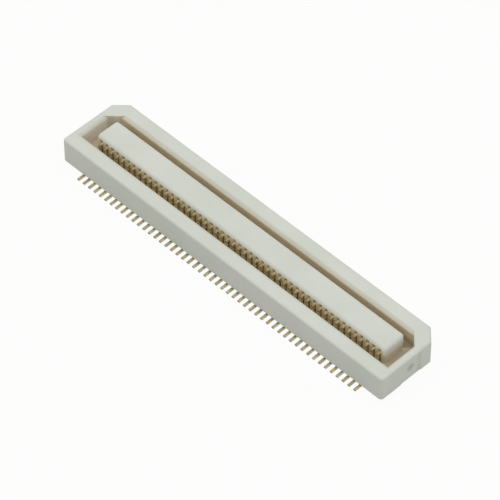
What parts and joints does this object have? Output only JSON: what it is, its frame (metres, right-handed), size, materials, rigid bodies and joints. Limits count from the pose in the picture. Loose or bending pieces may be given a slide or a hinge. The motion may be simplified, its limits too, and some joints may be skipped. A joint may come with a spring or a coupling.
{
  "type": "board to board connector",
  "caption": "Low keyed board-to-board connector: a long moulded housing with a centre island in a trench, flanked by rows of formed contacts with surface-mount tails.",
  "frame": {"origin": "on the board plane, under the middle of the part's footprint", "axes": "+X along the contact rows, +Y to the side with the two cut corners, +Z away from the board"},
  "size_m": [0.0338, 0.0072, 0.0029],
  "materials": {
    "housing_plastic": "off-white moulded engineering plastic, fine matte",
    "contact_plating": "thin gold plating on formed copper alloy strip"
  },
  "bodies": {
    "root": {"housing": "housing_plastic", "contact_pair_01": "contact_plating", "contact_pair_02": "contact_plating", "contact_pair_03": "contact_plating", "contact_pair_04": "contact_plating", "contact_pair_05": "contact_plating", "contact_pair_06": "contact_plating", "contact_pair_07": "contact_plating", "contact_pair_08": "contact_plating", "contact_pair_09": "contact_plating", "contact_pair_10": "contact_plating", "contact_pair_11": "contact_plating", "contact_pair_12": "contact_plating", "contact_pair_13": "contact_plating", "contact_pair_14": "contact_plating", "contact_pair_15": "contact_plating", "contact_pair_16": "contact_plating", "contact_pair_17": "contact_plating", "contact_pair_18": "contact_plating", "contact_pair_19": "contact_plating", "contact_pair_20": "contact_plating", "contact_pair_21": "contact_plating", "contact_pair_22": "contact_plating", "contact_pair_23": "contact_plating", "contact_pair_24": "contact_plating", "contact_pair_25": "contact_plating", "contact_pair_26": "contact_plating", "contact_pair_27": "contact_plating", "contact_pair_28": "contact_plating", "contact_pair_29": "contact_plating", "contact_pair_30": "contact_plating", "contact_pair_31": "contact_plating", "contact_pair_32": "contact_plating", "contact_pair_33": "contact_plating", "contact_pair_34": "contact_plating", "contact_pair_35": "contact_plating", "contact_pair_36": "contact_plating", "contact_pair_37": "contact_plating", "contact_pair_38": "contact_plating", "contact_pair_39": "contact_plating", "contact_pair_40": "contact_plating", "contact_pair_41": "contact_plating", "contact_pair_42": "contact_plating", "contact_pair_43": "contact_plating", "contact_pair_44": "contact_plating", "contact_pair_45": "contact_plating", "contact_pair_46": "contact_plating", "contact_pair_47": "contact_plating", "contact_pair_48": "contact_plating", "contact_pair_49": "contact_plating", "contact_pair_50": "contact_plating"}
  },
  "joints": []
}
